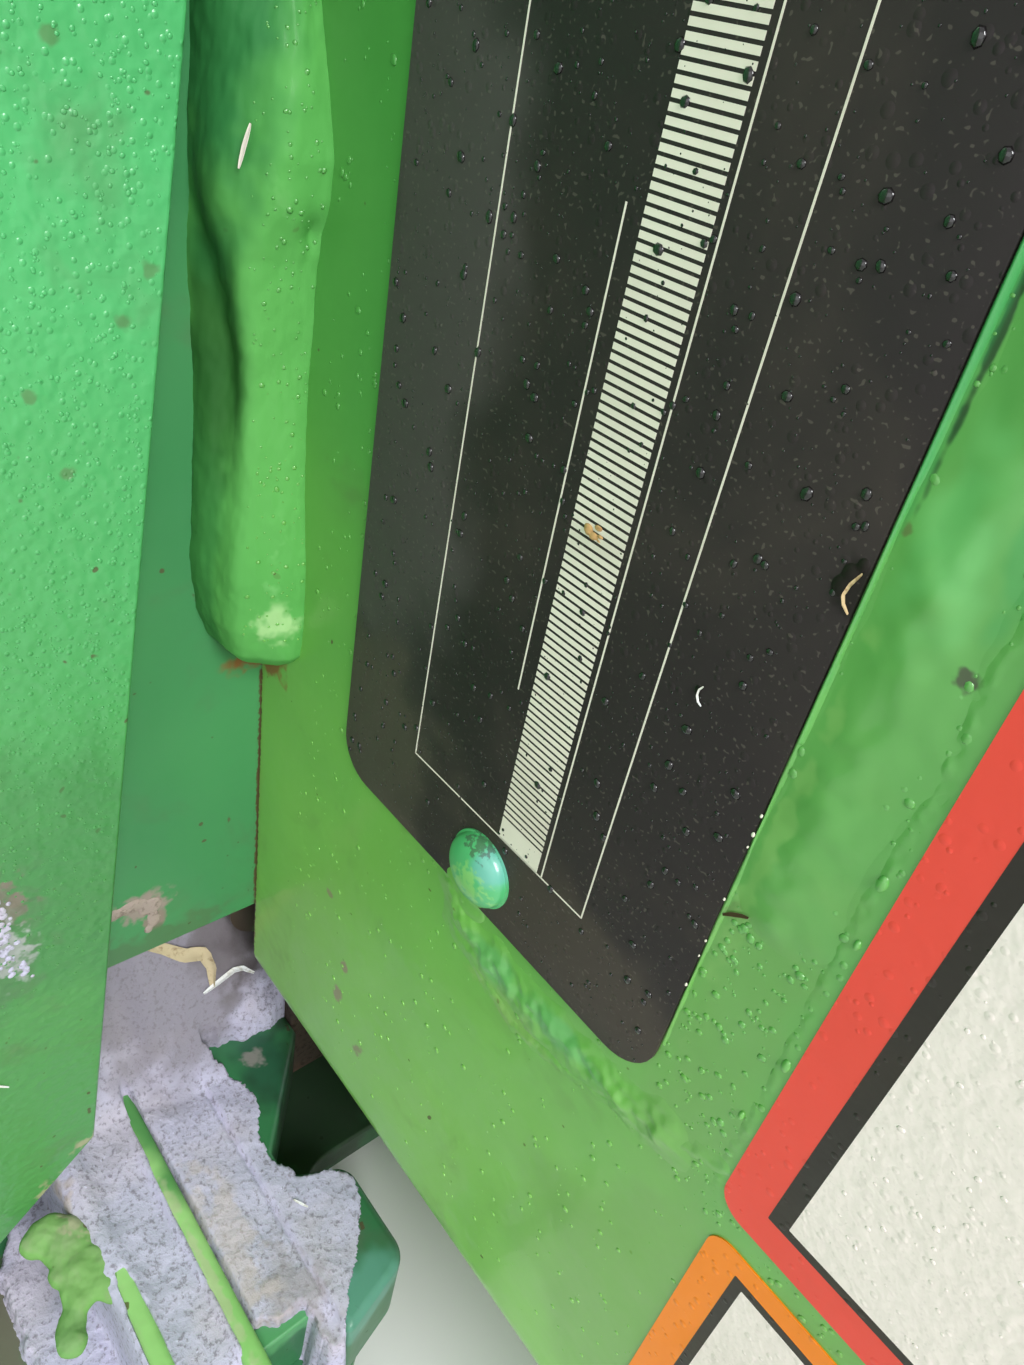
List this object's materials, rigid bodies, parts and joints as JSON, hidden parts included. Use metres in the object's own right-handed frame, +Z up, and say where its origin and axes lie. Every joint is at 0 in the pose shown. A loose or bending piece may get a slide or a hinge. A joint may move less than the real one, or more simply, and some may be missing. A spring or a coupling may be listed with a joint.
{
  "type": "hitch cross-beam of a towed round baler",
  "caption": "Welded rectangular tube beam with bolted end flanges and an open box of cheek plates for a drawbar, carrying a blank data plate.",
  "frame": {"origin": "centre of the left end flange's outer face", "axes": "+X out of the left end flange along the beam, -Y forwards to the drawbar, +Z up"},
  "size_m": [1.18, 0.44, 0.36],
  "materials": {
    "green_paint": "gloss enamel over rolled steel, wet with fine drops",
    "painted_weld": "gloss enamel over a thick weld bead",
    "dusty_paint": "gloss enamel under caked crop dust",
    "data_plate": "satin black plate with fine pale ruled lines",
    "sign_film": "printed film with a coloured border and blank pale panels",
    "caked_dust": "caked grey crop dust and chaff"
  },
  "bodies": {
    "root": {"beam_tube_centre": "green_paint", "beam_tube_left": "green_paint", "beam_tube_right": "green_paint", "bolt_rings_left": "green_paint", "bolt_rings_right": "green_paint", "cheek_plate_left": "green_paint", "cheek_plate_right": "green_paint", "end_flange_left": "green_paint", "end_flange_right": "green_paint", "flange_weld_beads_left": "painted_weld", "flange_weld_beads_right": "painted_weld", "hook_bar": "dusty_paint", "lower_gusset_left": "green_paint", "lower_gusset_right": "green_paint", "pocket_end_left": "dusty_paint", "pocket_end_right": "dusty_paint", "seat_plate": "dusty_paint", "seat_rib_front": "dusty_paint", "seat_rib_middle": "dusty_paint", "seat_web_left": "dusty_paint", "seat_web_right": "dusty_paint", "top_tie_plate": "green_paint", "upper_gusset_left": "green_paint", "upper_gusset_right": "green_paint", "web_plate_left": "green_paint", "web_plate_right": "green_paint", "web_weld_beads_left": "painted_weld", "web_weld_beads_right": "painted_weld"}
  },
  "joints": []
}
